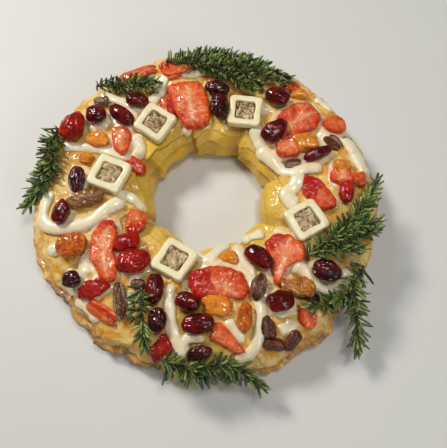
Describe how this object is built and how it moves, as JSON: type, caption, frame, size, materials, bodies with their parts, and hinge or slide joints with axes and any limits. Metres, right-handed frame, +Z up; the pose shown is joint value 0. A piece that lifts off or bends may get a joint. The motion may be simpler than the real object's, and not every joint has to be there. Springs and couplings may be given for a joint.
{
  "type": "christmas wreath cake",
  "caption": "Ring-shaped sweet bread of wrapped dough, iced and set with candied fruit, cherries, white-chocolate squares holding chopped nut, and short needled sprigs.",
  "frame": {"origin": "centre of the whole part's box, at the level of the ring's flat base", "axes": "+Z up; the ring lies in the XY plane with its axis along +Z"},
  "size_m": [0.2807, 0.2786, 0.0584],
  "materials": {
    "dough": "baked golden dough with a light glaze, browned at the foot",
    "candied": "glossy candied fruit, orange-red with pale veins",
    "amber": "glossy amber fruit",
    "dark_cherry": "very glossy dark burgundy",
    "red_cherry": "glossy deep red",
    "chocolate": "satin ivory",
    "nut": "dull cream and grey-brown",
    "needle": "dark green needles on olive stems"
  },
  "bodies": {
    "root": {"amber_chunk_1": "amber", "amber_chunk_2": "amber", "amber_chunk_3": "amber", "amber_chunk_4": "amber", "candied_slab_01": "candied", "candied_slab_02": "candied", "candied_slab_03": "candied", "candied_slab_04": "candied", "candied_slab_05": "candied", "candied_slab_06": "candied", "candied_slab_07": "candied", "candied_slab_08": "candied", "candied_slab_09": "candied", "candied_slab_10": "candied", "candied_slab_11": "candied", "candied_slab_12": "candied", "candied_slab_13": "candied", "candied_slab_14": "candied", "candied_slab_15": "candied", "chocolate_square_1": "chocolate", "chocolate_square_2": "chocolate", "chocolate_square_3": "chocolate", "chocolate_square_4": "chocolate", "chocolate_square_5": "chocolate", "dark_cherry_01": "dark_cherry", "dark_cherry_02": "dark_cherry", "dark_cherry_03": "dark_cherry", "dark_cherry_04": "dark_cherry", "dark_cherry_05": "dark_cherry", "dark_cherry_06": "dark_cherry", "dark_cherry_07": "dark_cherry", "dark_cherry_08": "dark_cherry", "dark_cherry_09": "dark_cherry", "dark_cherry_10": "dark_cherry", "dark_cherry_11": "dark_cherry", "dark_cherry_12": "dark_cherry", "dark_cherry_13": "dark_cherry", "dark_cherry_14": "dark_cherry", "dark_cherry_15": "dark_cherry", "dough_ring": "dough", "nut_1": "nut", "nut_2": "nut", "nut_3": "nut", "nut_4": "nut", "nut_5": "nut", "red_cherry_01": "red_cherry", "red_cherry_02": "red_cherry", "red_cherry_03": "red_cherry", "sprig_1": "needle", "sprig_2": "needle", "sprig_3": "needle", "sprig_4": "needle", "sprig_5": "needle", "sprig_6": "needle", "sprig_7": "needle", "wrinkled_cherry_01": "dark_cherry", "wrinkled_cherry_02": "dark_cherry", "wrinkled_cherry_03": "dark_cherry", "wrinkled_cherry_04": "dark_cherry", "wrinkled_cherry_05": "dark_cherry"}
  },
  "joints": []
}
